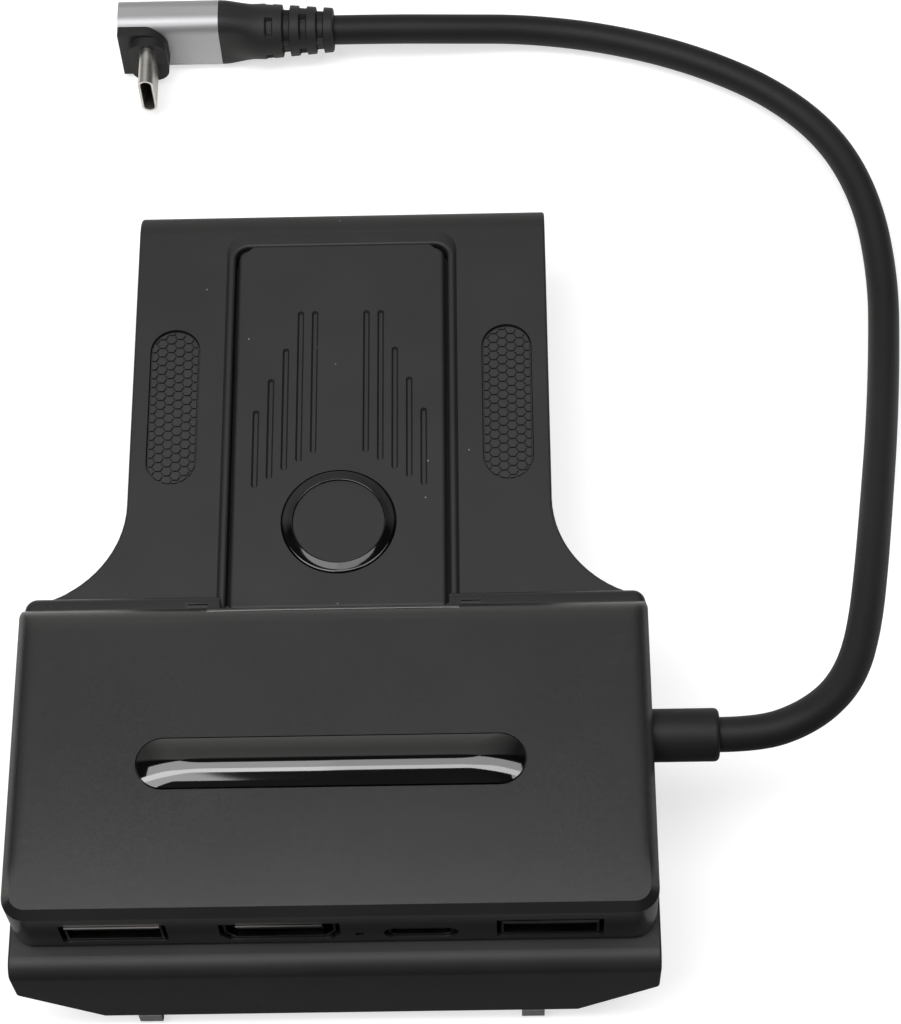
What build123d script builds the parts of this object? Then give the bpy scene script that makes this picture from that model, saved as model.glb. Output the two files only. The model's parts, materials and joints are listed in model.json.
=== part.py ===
"""Clip-on dock for a handheld console, with a port hub, a kickstand and a captive lead.

Millimetres. The dock lies on its open side: +Z points away from the console, +Y runs
from the shelf to the top hook, +X is to the right of someone looking at the hub.
The origin is on the table, under the middle of the bracket.
"""
import os
from math import cos, pi, radians, sin, tan

from build123d import *

os.makedirs("parts", exist_ok=True)

tolerance = 0.001           # for picking corners and edges by their place

# Bracket: the moulding that hooks round the console's top and bottom edges
console_height = 117.8      # clear height between shelf and hook
hook_wall = 3.0
shelf_wall = 3.0
plate_wall = 4.0
plate_top = 22.0            # front face of the plate above the table
upper_width = 62.5
lower_overhang = 0.5        # past the hub, at each side
shoulder_reach = 2.7        # from the hub's ledge up to the shoulders
flare_slope = 1.223         # rise of the flare over its reach
shoulder_round = 2.0
outer_round = 0.4           # edges of the outer skin
top_bend = 5.0
shelf_bend = 2.7
lip_bend = 2.4
inner_bend = 1.0
hook_lip_reach = 6.0
hook_lip_wall = 2.6
hook_lip_corner = 2.2
shelf_edge = 3.5            # free edge of the shelf above the table
shelf_corner_width = 11.0
shelf_corner_height = 7.4
shelf_corner_round = 1.0

# Claws that hold the console's lower front edge
claw_inset = 17.4           # from the bracket's side to the claw's middle
claw_width = 3.2
claw_reach = 5.0
claw_wall = 2.2
claw_tenon_depth = 4.0
claw_tenon_width = 2.0
claw_tenon_wall = 1.4

# Kickstand, its pocket and its hinge
kickstand_width = 31.4
kickstand_top_margin = 8.6  # from the hook's top face to the free edge
kickstand_wall = 2.8
kickstand_corner = 1.5
kickstand_edge_round = 0.6
kickstand_gap = 0.55
pocket_floor_gap = 0.2
hinge_reach = 1.8           # from the hub's ledge up to the hinge axis
hinge_end_gap = 0.35
pin_diameter = 1.4
pin_bearing = 1.2           # length of pin in each wall of the pocket
pin_clearance = 0.05
rim_width = 1.35            # raised rim round the pocket
rim_height = 0.6
rim_round = 0.45            # of the edge next to the pocket
rim_side_run = 0.5          # of the slope at the rim's sides
rim_top_run = 2.1           # of the gentler slope past the kickstand's free edge
rim_crest = 0.6             # of the crest there
rim_end_gap = 0.1           # to the hub's ledge
latch_width = 27.0          # tongue on the free edge that holds the kickstand shut
latch_slope = 1.2           # length of the slanted ends
latch_clearance = 0.1

# Decorative lines and ring on the kickstand
line_count = 5
line_pitch = 2.15
line_first_offset = 3.9
line_width = 1.0
line_depth = 0.45
line_draft = 30.0           # of the grooves' walls, from upright
line_top_rises = [49.3, 49.3, 42.8, 37.55, 32.2]    # above the hinge axis, middle to side
line_bottom_rise = 24.8
line_bottom_step = 1.42
ring_rise = 13.4
ring_outer_radius = 8.4
ring_inner_radius = 6.7
ring_seat_depth = 0.9
ring_crown = 0.36           # inner edge above the kickstand
ring_edge = 0.08            # outer edge above the kickstand
ring_hollow = 0.02          # middle of the bezel below a straight cone
ring_inner_round = 0.15
ring_outer_round = 0.35
ring_fit = 0.1              # round the ring's outer edge

# Honeycomb grip pads
grip_inset = 6.25           # from the plate's side to the pad's middle
grip_width = 7.55
grip_height = 26.5
grip_drop = 35.5            # from the hook's top face to the pad's middle
grip_pocket_depth = 1.3
grip_base_wall = 0.7
grip_cell_radius = 0.72
grip_cell_gap = 0.3
grip_cell_height = 0.35
grip_border = 0.35
grip_fit = 0.1

# Hub: base tray with the hinge ledge, and cover
hub_width = 88.0
hub_setback = 4.0           # of the hub's lower wall, from the bracket's lower face
cover_height = 46.2
hub_depth = 12.1            # front face of the hub above the plate
base_floor = 1.0
base_inset = 0.3
ledge_reach = 2.8
ledge_depth = 8.1
ledge_corner = 1.8
ledge_round = 0.9
ledge_inset = 0.1           # from the cover's side
cover_gap = 0.2
hinge_notch_margin = 0.55   # at each side of the kickstand
snap_tab_length = 2.8       # tabs on the ledge, at both sides of the notch
snap_tab_width = 0.8
snap_tab_height = 0.15
snap_tab_round = 0.12
snap_tab_groove = 0.25
snap_tab_gap = 1.65         # to the notch's side
snap_tab_offset = 1.6       # from the ledge's upper edge
cover_wall = 1.8
cover_roof = 1.8
cover_lower_corner = 3.4
cover_upper_corner = 1.8
cover_chamfer = 1.2
cover_top_round = 3.2       # softer edge next to the ledge
bead_overrun = 1.4          # of the thin bead on that edge, past the notch at each side
bead_diameter = 0.7
bead_angle = 40.0           # from the front face
bead_sink = 0.12
vent_count = 3
vent_pitch = 1.5
vent_width = 0.8
vent_height = 5.0
vent_depth = 0.6
vent_lower_rise = 10.0      # above the hub's lower wall
vent_upper_drop = 7.0       # below the cover's upper wall

# Gloss bar on the cover
window_rise = 21.8          # middle of the bar above the hub's lower wall
window_length = 53.4
window_width = 7.6
window_seat = 0.9
window_rim = 0.15
window_crown = 1.25
window_fit = 0.08

# Board and what it carries
board_side_gap = 1.7        # to the inside of the side walls
board_gap = 0.4             # to the inside of the port wall
board_top_gap = 6.2         # to the inside of the upper wall
board_wall = 1.0
standoff_height = 0.4
standoff_diameter = 4.2
board_screw_inset = 6.5     # from the board's side
board_screw_top_inset = 3.2
board_screw_port_gap = 4.4  # behind the deepest port
board_screw_head = 3.0
board_screw_head_height = 0.8
board_screw_shank = 1.4
board_screw_bite = 1.0
board_screw_clearance = 0.1
hub_chip_place = (1.0, 27.5)            # across, and above the hub's lower wall
hub_chip_size = 9.0
video_chip_place = (-13.0, 23.0)
video_chip_size = 7.0
power_chip_place = (14.0, 21.0)
power_chip_size = 5.0
chip_height = 0.9
inductor_place = (25.0, 28.0)
inductor_size = 6.0
inductor_height = 3.0
component_chamfer = 0.2
lamp_length = 1.6

# Screws that hold the hub to the bracket
boss_inset = 4.5            # from the hub's side
boss_lower_inset = 6.6
boss_upper_inset = 7.8
boss_diameter = 4.6
boss_clearance = 0.4
screw_shank = 1.9
screw_length = 9.0
screw_head = 3.8
screw_head_height = 1.4
screw_sink = 0.4
screw_clearance = 0.15
driver_radius = 0.85
driver_depth = 0.7

# Ports in the lower wall of the cover
port_setback = 0.3          # of the metal shells, behind the wall's outer face
port_lip_reach = 0.25       # of the lips on the larger shells, past that face
port_clearance = 0.3
port_side_clearance = 0.3   # added at both sides
port_sheet = 0.35
usb_a_inset = 14.6          # from the hub's side to the port's middle
usb_a_width = 13.2
usb_a_lip_width = 12.8
usb_a_height = 5.7
usb_a_depth = 14.0
usb_a_tongue_width = 11.1
usb_a_tongue_wall = 1.9
usb_a_tongue_depth = 9.0
hdmi_offset = -7.0
hdmi_width = 15.1
hdmi_lip_width = 11.6
hdmi_height = 5.5
hdmi_depth = 11.5
hdmi_slant = 1.3
hdmi_slant_height = 2.0
hdmi_tongue_width = 11.6
hdmi_tongue_wall = 1.2
hdmi_tongue_depth = 7.0
usb_c_offset = 12.0
usb_c_width = 8.9
usb_c_height = 3.2
usb_c_depth = 7.8
usb_c_tongue_width = 6.7
usb_c_tongue_wall = 0.7
usb_c_tongue_depth = 5.0
light_offset = 3.7
light_diameter = 1.1
light_length = 4.2
light_recess = 0.9
light_rise = 3.7            # above the plate
light_clearance = 0.06

# Pads that touch the console
pad_wall = 1.0
back_pad_inset = 11.25      # from the plate's side to the pad's middle
back_pad_width = 9.0
back_pad_height = 62.0
back_pad_rise = 72.0
hook_pad_inset = 6.25
hook_pad_height = 11.0
shelf_pad_inset = 15.5
shelf_pad_height = 9.0
pad_corner = 1.5

# Lead and its strain relief
lead_diameter = 4.9
relief_diameter = 7.4
relief_length = 9.3
relief_rise = 27.3          # above the hub's lower wall
relief_neck = 6.0
relief_flange = 8.2
relief_flange_wall = 1.4
relief_clearance = 0.1
relief_round = 0.7

# Angled plug
plug_shell_length = 16.6
plug_shell_height = 12.0
plug_shell_width = 6.6
plug_shell_round = 2.4
plug_boot_length = 18.9
plug_taper_length = 7.4
plug_taper_diameter = 9.2
plug_boot_end_diameter = 7.3
plug_slot_first = 8.25      # middle of the first slot, from the shell
plug_slot_pitch = 2.8
plug_slot_width = 1.2
plug_slot_cores = [7.6, 6.2, 5.6, 6.0]              # left between two facing slots
plug_nose_length = 8.0
plug_nose_height = 10.6
plug_nose_round = 3.6
plug_nose_reach = 1.0
plug_boss_length = 6.2
plug_boss_height = 9.8
plug_boss_round = 2.6
plug_boss_reach = 2.7       # from the shell's face
plug_nose_seat = 1.6
plug_nose_fit = 0.05
plug_tip_width = 8.3
plug_tip_wall = 2.5
plug_tip_reach = 6.7
plug_tip_seat = 1.4
plug_tip_sheet = 0.35
plug_tip_offset = 4.8       # from the plug's end
plug_tongue_setback = 0.8

# The lead's route: a short run straight out of the relief, then these points
lead_exit_run = 5.6
lead_bend_share = 0.45      # of the shorter run at each corner
lead_route = [
    (64.6, -28.7, 27.9),
    (69.5, -25.0, 27.0),
    (72.9, -19.9, 26.0),
    (75.2, -12.5, 24.0),
    (77.3, -1.8, 20.5),
    (79.6, 11.8, 15.6),
    (82.1, 27.0, 10.2),
    (84.2, 43.0, 5.3),
    (85.5, 58.0, 2.7),
    (84.2, 72.8, 2.55),
    (79.4, 85.2, 2.55),
    (70.3, 94.8, 2.55),
    (57.8, 101.8, 2.55),
    (44.0, 106.4, 2.6),
    (30.0, 108.2, 3.4),
    (17.0, 107.2, 5.2),
    (6.0, 106.9, 6.0),
]
lead_end = (-2.7, 106.9)

# Places that follow from the sizes above
bracket_length = shelf_wall + console_height + hook_wall
bottom_y = -bracket_length / 2
top_y = bracket_length / 2
plate_back = plate_top - plate_wall
lower_width = hub_width + 2 * lower_overhang
hub_y = bottom_y + hub_setback
cover_top_y = hub_y + cover_height
ledge_y = cover_top_y + ledge_reach
ledge_width = hub_width - 2 * ledge_inset
shoulder_y = ledge_y + shoulder_reach
flare_height = flare_slope * (lower_width - upper_width) / 2
claw_spacing = lower_width - 2 * claw_inset
hinge_y = ledge_y + hinge_reach
stand_top = plate_top + rim_height
hinge_z = stand_top - kickstand_wall / 2
hinge_notch_width = kickstand_width + 2 * hinge_notch_margin
snap_tab_spacing = hinge_notch_width + 2 * snap_tab_gap + snap_tab_length
bead_length = hinge_notch_width + 2 * bead_overrun
kickstand_height = top_y - kickstand_top_margin - hinge_y
pocket_width = kickstand_width + 2 * kickstand_gap
pocket_top_y = hinge_y + kickstand_height + kickstand_gap
pocket_bottom_y = hinge_y - kickstand_wall / 2 - hinge_end_gap
pocket_depth = kickstand_wall + pocket_floor_gap
ring_y = hinge_y + ring_rise
grip_spacing = upper_width - 2 * grip_inset
grip_y = top_y - grip_drop
hub_top = plate_top + hub_depth
cover_bottom = plate_top + base_floor
board_bottom = cover_bottom + standoff_height
board_top = board_bottom + board_wall
port_wall_y = hub_y + cover_wall
vent_rises = [vent_lower_rise, cover_height - vent_upper_drop]
boss_spacing = hub_width - 2 * boss_inset
boss_rises = [boss_lower_inset, cover_height - boss_upper_inset]
board_y = port_wall_y + board_gap
board_width = hub_width - 2 * (cover_wall + board_side_gap)
board_height = cover_height - 2 * cover_wall - board_gap - board_top_gap
board_screw_spacing = board_width - 2 * board_screw_inset
board_screw_rises = [
    usb_a_depth + port_setback + board_screw_port_gap,
    cover_wall + board_gap + board_height - board_screw_top_inset,
]
usb_a_spacing = hub_width - 2 * usb_a_inset
window_y = hub_y + window_rise
relief_y = hub_y + relief_rise
relief_z = plate_top + hub_depth / 2
plug_z = plug_shell_height / 2
plug_y = lead_end[1]
boot_end_x = lead_end[0]
shell_end_x = boot_end_x - plug_boot_length
plug_end_x = shell_end_x - plug_shell_length


def save(piece, name):
    """Label a finished piece and write its STEP file."""
    piece.part.label = name
    export_step(piece.part, f"parts/{name}.step")


def facing_up(y):
    """Plane across the dock at y, whose extrusions run towards the hook."""
    return Plane(origin=(0, y, 0), x_dir=(-1, 0, 0), z_dir=(0, 1, 0))


def facing_down(y):
    """Plane across the dock at y, whose extrusions run towards the shelf."""
    return Plane(origin=(0, y, 0), x_dir=(1, 0, 0), z_dir=(0, -1, 0))


# Bracket
with BuildPart() as bracket:
    with BuildSketch(Plane.YZ) as side_profile:
        with BuildLine():
            Polyline(
                (bottom_y, shelf_edge),
                (bottom_y, plate_top),
                (top_y, plate_top),
                (top_y, 0),
                (top_y - hook_wall - hook_lip_reach, 0),
                (top_y - hook_wall - hook_lip_reach, hook_lip_wall),
                (top_y - hook_wall, hook_lip_wall),
                (top_y - hook_wall, plate_back),
                (bottom_y + shelf_wall, plate_back),
                (bottom_y + shelf_wall, shelf_edge),
                close=True,
            )
        make_face()
        corners = side_profile.vertices().group_by(Axis.Y)
        fillet(corners[-1].sort_by(Axis.X)[:1], shelf_bend)
        fillet(side_profile.vertices().group_by(Axis.Y)[-1].sort_by(Axis.X)[-1:], top_bend)
        fillet(side_profile.vertices().group_by(Axis.Y)[0].sort_by(Axis.X)[-1:], lip_bend)
        inside = side_profile.vertices().filter_by(lambda v: abs(v.Y - plate_back) < tolerance)
        fillet(inside, inner_bend)
    extrude(amount=lower_width / 2, both=True)

    # Plan outline: a narrow plate that flares out to the hub's width
    with BuildSketch() as plan:
        with BuildLine():
            Polyline(
                (0, bottom_y),
                (lower_width / 2, bottom_y),
                (lower_width / 2, shoulder_y),
            )
            TangentArc(
                (upper_width / 2, shoulder_y + flare_height),
                (lower_width / 2, shoulder_y),
                tangent=(0, -1),
            )
            Polyline(
                (upper_width / 2, shoulder_y + flare_height),
                (upper_width / 2, top_y),
                (0, top_y),
            )
            mirror(about=Plane.YZ)
        make_face()
        shoulders = plan.vertices().filter_by(lambda v: abs(v.Y - shoulder_y) < tolerance)
        fillet(shoulders, shoulder_round)
    extrude(amount=plate_top, mode=Mode.INTERSECT)

    # Slanted corners of the shelf's free edge
    with BuildSketch(Plane.XZ.offset(-bottom_y - shelf_wall)):
        with BuildLine():
            Polyline(
                (lower_width / 2, shelf_edge),
                (lower_width / 2, shelf_edge + shelf_corner_height),
                (lower_width / 2 - shelf_corner_width, shelf_edge),
                close=True,
            )
        make_face()
        mirror(about=Plane.YZ)
    extrude(amount=shelf_wall, mode=Mode.SUBTRACT)

    shelf_edges = bracket.edges().filter_by(Axis.Y).filter_by(
        lambda edge: edge.center().Y < bottom_y + shelf_wall and edge.center().Z < plate_back
    )
    fillet(shelf_edges, shelf_corner_round)

    # Corners of the hook's lip, then a small round along every edge of the outer skin
    lip_edges = bracket.edges().filter_by(Axis.Z).filter_by(
        lambda edge: edge.center().Z < hook_lip_wall
    )
    fillet(lip_edges, hook_lip_corner)
    fillet(bracket.edges().filter_by(Axis.Y).group_by(Axis.Z)[-1], outer_round)

    # Raised rim round the pocket, from ledge to ledge, with sloping flanks
    rim_y = ledge_y + rim_end_gap
    rim_half = pocket_width / 2 + rim_width
    crest_y = pocket_top_y + rim_crest
    rim_corner = kickstand_corner + kickstand_gap + rim_width
    rim_levels = [
        (plate_top, rim_half, crest_y + rim_top_run, rim_corner),
        (stand_top, rim_half - rim_side_run, crest_y, rim_corner - rim_side_run),
    ]
    for level_z, half, level_y, corner in rim_levels:
        with BuildSketch(Plane.XY.offset(level_z)) as rim:
            with Locations((0, rim_y)):
                Rectangle(2 * half, level_y - rim_y, align=(Align.CENTER, Align.MIN))
            fillet(rim.vertices().group_by(Axis.Y)[-1], corner)
    loft()

    # Pocket for the kickstand, then the round edge of the rim next to it
    with BuildSketch(Plane.XY.offset(stand_top)) as pocket:
        with Locations((0, pocket_bottom_y)):
            Rectangle(pocket_width, pocket_top_y - pocket_bottom_y, align=(Align.CENTER, Align.MIN))
        fillet(pocket.vertices().group_by(Axis.Y)[-1], kickstand_corner + kickstand_gap)
    extrude(amount=-pocket_depth, mode=Mode.SUBTRACT)
    rim_edges = bracket.faces().sort_by(Axis.Z)[-1].edges().filter_by(
        lambda edge: abs(edge.center().X) < pocket_width / 2 + tolerance
        and edge.center().Y < pocket_top_y + tolerance
    )
    fillet(rim_edges, rim_round)

    # Bearings for the hinge pin in both walls of the pocket
    with BuildSketch(Plane.YZ.offset(-pocket_width / 2 - pin_bearing)):
        with Locations((hinge_y, hinge_z)):
            Circle(pin_diameter / 2 + pin_clearance)
    extrude(amount=pocket_width + 2 * pin_bearing, mode=Mode.SUBTRACT)

    # Pockets of the grip pads
    with BuildSketch(Plane.XY.offset(plate_top)):
        with Locations((-grip_spacing / 2, grip_y), (grip_spacing / 2, grip_y)):
            SlotOverall(grip_height, grip_width, rotation=90)
    extrude(amount=-grip_pocket_depth, mode=Mode.SUBTRACT)

    # Counterbored holes of the hub's screws, from the console's side
    for rise in boss_rises:
        with Locations(Plane((0, hub_y + rise, plate_back), x_dir=(1, 0, 0), z_dir=(0, 0, -1))):
            with GridLocations(boss_spacing, 0, 2, 1):
                CounterBoreHole(
                    screw_shank / 2 + screw_clearance,
                    screw_head / 2 + screw_clearance,
                    screw_head_height + screw_sink,
                    depth=plate_wall,
                )

    # Sockets of the claws in the shelf's free edge
    with BuildSketch(Plane.XY.offset(shelf_edge)):
        with Locations((0, bottom_y + shelf_wall / 2)):
            with GridLocations(claw_spacing, 0, 2, 1):
                Rectangle(claw_tenon_width, claw_tenon_wall)
    extrude(amount=claw_tenon_depth, mode=Mode.SUBTRACT)
save(bracket, "bracket")

# Claws
for side, name in ((-1, "claw_left"), (1, "claw_right")):
    with BuildPart() as claw:
        with BuildSketch(Plane.YZ.offset(side * claw_spacing / 2)) as claw_profile:
            with BuildLine():
                Polyline(
                    (bottom_y, shelf_edge),
                    (bottom_y, 0),
                    (bottom_y + shelf_wall + claw_reach, 0),
                    (bottom_y + shelf_wall + claw_reach, claw_wall),
                    (bottom_y + shelf_wall, claw_wall),
                    (bottom_y + shelf_wall, shelf_edge),
                    close=True,
                )
            make_face()
            foot = claw_profile.vertices().group_by(Axis.Y)[0]
            fillet(foot, claw_wall / 2)
        extrude(amount=claw_width / 2, both=True)
        with BuildSketch(Plane.XY.offset(shelf_edge)):
            with Locations((side * claw_spacing / 2, bottom_y + shelf_wall / 2)):
                Rectangle(claw_tenon_width, claw_tenon_wall)
        extrude(amount=claw_tenon_depth)
    save(claw, name)

# Grip pads
for side, name in ((-1, "grip_pad_left"), (1, "grip_pad_right")):
    with BuildPart() as grip:
        with BuildSketch(Plane.XY.offset(plate_top - grip_pocket_depth)):
            with Locations((side * grip_spacing / 2, grip_y)):
                SlotOverall(grip_height - 2 * grip_fit, grip_width - 2 * grip_fit, rotation=90)
        extrude(amount=grip_base_wall)
        with BuildSketch(Plane.XY.offset(plate_top - grip_pocket_depth + grip_base_wall)):
            columns = int(grip_width / grip_cell_radius) + 2
            rows = int(grip_height / grip_cell_radius) + 2
            with Locations((side * grip_spacing / 2, grip_y)):
                with HexLocations(grip_cell_radius + grip_cell_gap / 2, columns, rows, major_radius=True):
                    RegularPolygon(grip_cell_radius, 6)
                SlotOverall(
                    grip_height - 2 * grip_border,
                    grip_width - 2 * grip_border,
                    rotation=90,
                    mode=Mode.INTERSECT,
                )
        extrude(amount=grip_cell_height)
    save(grip, name)

# Kickstand
with BuildPart() as kickstand:
    with BuildSketch(Plane.YZ):
        with Locations((hinge_y, hinge_z)):
            Circle(kickstand_wall / 2)
            Rectangle(kickstand_height, kickstand_wall, align=(Align.MIN, Align.CENTER))
    extrude(amount=kickstand_width / 2, both=True)
    fillet(kickstand.edges().filter_by(Axis.Z).group_by(Axis.Y)[-1], kickstand_corner)
    front_rim = kickstand.faces().sort_by(Axis.Z)[-1].edges().sort_by(Axis.Y)[1:]
    fillet(front_rim, kickstand_edge_round)

    # Latch tongue in the middle of the free edge
    with BuildSketch(Plane.XY.offset(stand_top - kickstand_wall)):
        latch_root_y = hinge_y + kickstand_height - kickstand_edge_round
        latch_tip_y = hinge_y + kickstand_height + kickstand_gap - latch_clearance
        Polygon(
            (-latch_width / 2 - latch_slope, latch_root_y),
            (latch_width / 2 + latch_slope, latch_root_y),
            (latch_width / 2, latch_tip_y),
            (-latch_width / 2, latch_tip_y),
            align=None,
        )
    extrude(amount=kickstand_wall)

    # Decorative lines, the ring's seat and the bore of the hinge pin
    with BuildSketch(Plane.XY.offset(stand_top)):
        for line in range(line_count):
            line_x = line_first_offset + line * line_pitch
            line_bottom = line_bottom_rise - line * line_bottom_step
            line_top = line_top_rises[line]
            line_y = hinge_y + (line_top + line_bottom) / 2
            with Locations((-line_x, line_y), (line_x, line_y)):
                SlotOverall(line_top - line_bottom, line_width, rotation=90)
    extrude(amount=-line_depth, taper=line_draft, mode=Mode.SUBTRACT)
    with BuildSketch(Plane.XY.offset(stand_top)):
        with Locations((0, ring_y)):
            Circle(ring_outer_radius + ring_fit)
            Circle(ring_inner_radius, mode=Mode.SUBTRACT)
    extrude(amount=-ring_seat_depth, mode=Mode.SUBTRACT)
    with BuildSketch(Plane.YZ.offset(-kickstand_width / 2)):
        with Locations((hinge_y, hinge_z)):
            Circle(pin_diameter / 2)
    extrude(amount=kickstand_width, mode=Mode.SUBTRACT)
save(kickstand, "kickstand")

# Gloss ring: a bezel that slopes down towards its outer edge
with BuildPart() as ring:
    with BuildSketch(Plane.XZ.offset(-ring_y)):
        with BuildLine():
            seat_z = stand_top - ring_seat_depth
            middle_x = (ring_inner_radius + ring_outer_radius) / 2
            middle_z = stand_top + (ring_crown + ring_edge) / 2 - ring_hollow
            Polyline(
                (ring_inner_radius, stand_top + ring_crown),
                (ring_inner_radius, seat_z),
                (ring_outer_radius, seat_z),
                (ring_outer_radius, stand_top + ring_edge),
            )
            ThreePointArc(
                (ring_outer_radius, stand_top + ring_edge),
                (middle_x, middle_z),
                (ring_inner_radius, stand_top + ring_crown),
            )
        make_face()
    revolve(axis=Axis((0, ring_y, 0), (0, 0, 1)))
    outer_edges = ring.edges().filter_by(GeomType.CIRCLE).filter_by(
        lambda edge: abs(edge.radius - ring_outer_radius) < tolerance
    )
    fillet(outer_edges.sort_by(Axis.Z)[-1], ring_outer_round)
    fillet(ring.edges().group_by(Axis.Z)[-1], ring_inner_round)
save(ring, "kickstand_ring")

# Hinge pin
with BuildPart() as hinge_pin:
    pin_length = pocket_width + 2 * pin_bearing - 2 * pin_clearance
    with BuildSketch(Plane.YZ.offset(-pin_length / 2)):
        with Locations((hinge_y, hinge_z)):
            Circle(pin_diameter / 2)
    extrude(amount=pin_length)
save(hinge_pin, "hinge_pin")

# Hub base: a floor under the cover, and the ledge with the hinge notch
with BuildPart() as hub_base:
    with BuildSketch(Plane.XY.offset(plate_top)) as floor_outline:
        with Locations((0, hub_y + base_inset)):
            Rectangle(
                hub_width - 2 * base_inset,
                ledge_y - hub_y - base_inset,
                align=(Align.CENTER, Align.MIN),
            )
        fillet(floor_outline.vertices().group_by(Axis.Y)[0], cover_lower_corner - base_inset)
        fillet(floor_outline.vertices().group_by(Axis.Y)[-1], ledge_corner)
    extrude(amount=base_floor)
    with BuildSketch(Plane.XY.offset(plate_top)) as ledge_outline:
        with Locations((0, cover_top_y)):
            Rectangle(ledge_width, 2 * ledge_reach)
        fillet(ledge_outline.vertices().group_by(Axis.Y)[-1], ledge_corner)
        with Locations((0, cover_top_y + cover_gap)):
            Rectangle(ledge_width, 2 * ledge_reach, align=(Align.CENTER, Align.MAX), mode=Mode.SUBTRACT)
    extrude(amount=ledge_depth)
    ledge_rim = hub_base.faces().sort_by(Axis.Z)[-1].edges().group_by(Axis.Y)
    fillet(ledge_rim[-1], ledge_round)

    # Room for the kickstand's lower end as it swings out
    with BuildSketch(Plane.XY.offset(plate_top)):
        with Locations((0, ledge_y)):
            Rectangle(hinge_notch_width, 2 * ledge_reach)
    extrude(amount=ledge_depth, mode=Mode.SUBTRACT)

    # Two snap tabs on the ledge, each with a groove along its middle
    with BuildSketch(Plane.XY.offset(plate_top + ledge_depth)):
        with Locations((0, ledge_y - snap_tab_offset)):
            with GridLocations(snap_tab_spacing, 0, 2, 1):
                Rectangle(snap_tab_length, snap_tab_width)
    extrude(amount=snap_tab_height)
    tab_edges = hub_base.edges().filter_by(Axis.X).group_by(Axis.Z)[-1]
    fillet(tab_edges, snap_tab_round)
    with BuildSketch(Plane.XY.offset(plate_top + ledge_depth + snap_tab_height)):
        with Locations((0, ledge_y - snap_tab_offset)):
            with GridLocations(snap_tab_spacing, 0, 2, 1):
                Rectangle(snap_tab_length, snap_tab_groove)
    extrude(amount=-2 * snap_tab_height, mode=Mode.SUBTRACT)

    # Standoffs of the board, and clear holes for the long screws
    with BuildSketch(Plane.XY.offset(cover_bottom)):
        for rise in board_screw_rises:
            with Locations((0, hub_y + rise)):
                with GridLocations(board_screw_spacing, 0, 2, 1):
                    Circle(standoff_diameter / 2)
    extrude(amount=standoff_height)
    with BuildSketch(Plane.XY.offset(board_bottom)):
        for rise in board_screw_rises:
            with Locations((0, hub_y + rise)):
                with GridLocations(board_screw_spacing, 0, 2, 1):
                    Circle(board_screw_shank / 2)
    extrude(amount=-board_screw_bite, mode=Mode.SUBTRACT)
    with BuildSketch(Plane.XY.offset(plate_top)):
        for rise in boss_rises:
            with Locations((0, hub_y + rise)):
                with GridLocations(boss_spacing, 0, 2, 1):
                    Circle(screw_shank / 2 + screw_clearance)
    extrude(amount=base_floor, mode=Mode.SUBTRACT)
save(hub_base, "hub_base")

usb_a_z = board_top + usb_a_height / 2
hdmi_z = board_top + hdmi_height / 2
usb_c_z = board_top + usb_c_height / 2
light_z = plate_top + light_rise


def hdmi_outline(margin, spread=0):
    """Outline of the video port, slanted at its two corners next to the board."""
    half = hdmi_width / 2 + margin + spread
    low = hdmi_z - hdmi_height / 2 - margin
    high = hdmi_z + hdmi_height / 2 + margin
    Polygon(
        (hdmi_offset - half + hdmi_slant, low),
        (hdmi_offset + half - hdmi_slant, low),
        (hdmi_offset + half, low + hdmi_slant_height),
        (hdmi_offset + half, high),
        (hdmi_offset - half, high),
        (hdmi_offset - half, low + hdmi_slant_height),
        align=None,
    )


def usb_a_outline(centre_x, margin, spread=0):
    """Outline of a rectangular port."""
    with Locations((centre_x, usb_a_z)):
        Rectangle(usb_a_width + 2 * (margin + spread), usb_a_height + 2 * margin)


def usb_c_outline(margin, spread=0):
    """Outline of the small oval port."""
    with Locations((usb_c_offset, usb_c_z)):
        SlotOverall(usb_c_width + 2 * (margin + spread), usb_c_height + 2 * margin)


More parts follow.
